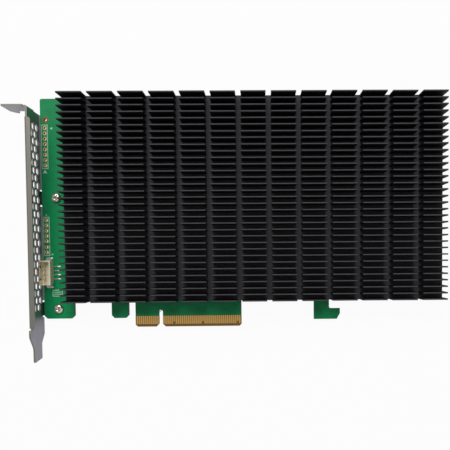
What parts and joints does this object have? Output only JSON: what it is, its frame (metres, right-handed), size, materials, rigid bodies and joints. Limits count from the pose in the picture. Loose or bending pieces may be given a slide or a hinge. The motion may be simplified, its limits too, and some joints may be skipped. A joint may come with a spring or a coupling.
{
  "type": "nvme adapter card",
  "caption": "Expansion card that carries bare solid-state drives under a black pin-fin heatsink, with a gold contact edge, a retention hook and a perforated slot bracket.",
  "frame": {"origin": "on the contact edge, at the middle of the key notch's width and of the board's thickness", "axes": "+X along the card away from the bracket, +Y up from the contact edge, +Z out of the component side"},
  "size_m": [0.2042, 0.1257, 0.0184],
  "materials": {
    "green_laminate": "green solder mask over glass laminate, semi-gloss",
    "gold_plating": "hard gold over nickel, satin",
    "black_anodised_aluminium": "black anodised extrusion, satin",
    "nickel_plated_brass": "nickel plated, turned",
    "nickel_plated_steel": "nickel plated, bright",
    "bracket_steel": "nickel plated sheet steel, satin",
    "black_socket_plastic": "moulded liquid crystal polymer, matt",
    "silicone_pad": "filled silicone, matt",
    "chip_substrate": "laminate substrate, satin",
    "nickel_plated_copper": "nickel plated heat spreader, satin",
    "moulded_ferrite": "pressed iron powder, matt",
    "chip_epoxy": "moulded epoxy, matt",
    "tinned_copper": "matt tin plate",
    "capacitor_case": "moulded epoxy case, matt",
    "crystal_can": "gold flashed lid on ceramic",
    "capacitor_ceramic": "fired ceramic with tinned ends",
    "resistor_glaze": "black glaze on alumina",
    "plated_hole": "gold flashed copper ring",
    "copper_ring": "bare copper ring",
    "ivory_nylon": "moulded nylon, ivory, satin"
  },
  "bodies": {
    "root": {"alarm_rings": "plated_hole", "bracket": "bracket_steel", "bracket_screws": "nickel_plated_steel", "buck_regulator_1": "chip_epoxy", "buck_regulator_2": "chip_epoxy", "buck_regulator_3": "chip_epoxy", "bulk_capacitors": "capacitor_case", "ceramic_capacitors": "capacitor_ceramic", "chip_resistors": "resistor_glaze", "clock_buffer": "chip_epoxy", "crystal": "crystal_can", "decoupling_capacitors": "capacitor_ceramic", "drive_pad_1": "silicone_pad", "drive_pad_2": "silicone_pad", "drive_pad_3": "silicone_pad", "drive_pad_4": "silicone_pad", "drive_screws": "nickel_plated_steel", "drive_socket_1": "black_socket_plastic", "drive_socket_2": "black_socket_plastic", "drive_socket_3": "black_socket_plastic", "drive_socket_4": "black_socket_plastic", "drive_standoff_1": "nickel_plated_brass", "drive_standoff_2": "nickel_plated_brass", "drive_standoff_3": "nickel_plated_brass", "drive_standoff_4": "nickel_plated_brass", "edge_contacts_component_side": "gold_plating", "edge_contacts_solder_side": "gold_plating", "fan_controller": "chip_epoxy", "fan_header_anchors": "tinned_copper", "fan_header_housing": "ivory_nylon", "fan_header_pins": "tinned_copper", "flash_chip": "chip_epoxy", "flash_leads": "tinned_copper", "ground_ring": "copper_ring", "header_rings": "plated_hole", "heatsink": "black_anodised_aluminium", "heatsink_screws": "nickel_plated_steel", "heatsink_spacers": "nickel_plated_brass", "inductor_clips": "tinned_copper", "pcb": "green_laminate", "power_inductor_1": "moulded_ferrite", "power_inductor_2": "moulded_ferrite", "power_inductor_3": "moulded_ferrite", "socket_contacts_1": "gold_plating", "socket_contacts_2": "gold_plating", "socket_contacts_3": "gold_plating", "socket_contacts_4": "gold_plating", "switch_lid": "nickel_plated_copper", "switch_pad": "silicone_pad", "switch_substrate": "chip_substrate"}
  },
  "joints": []
}
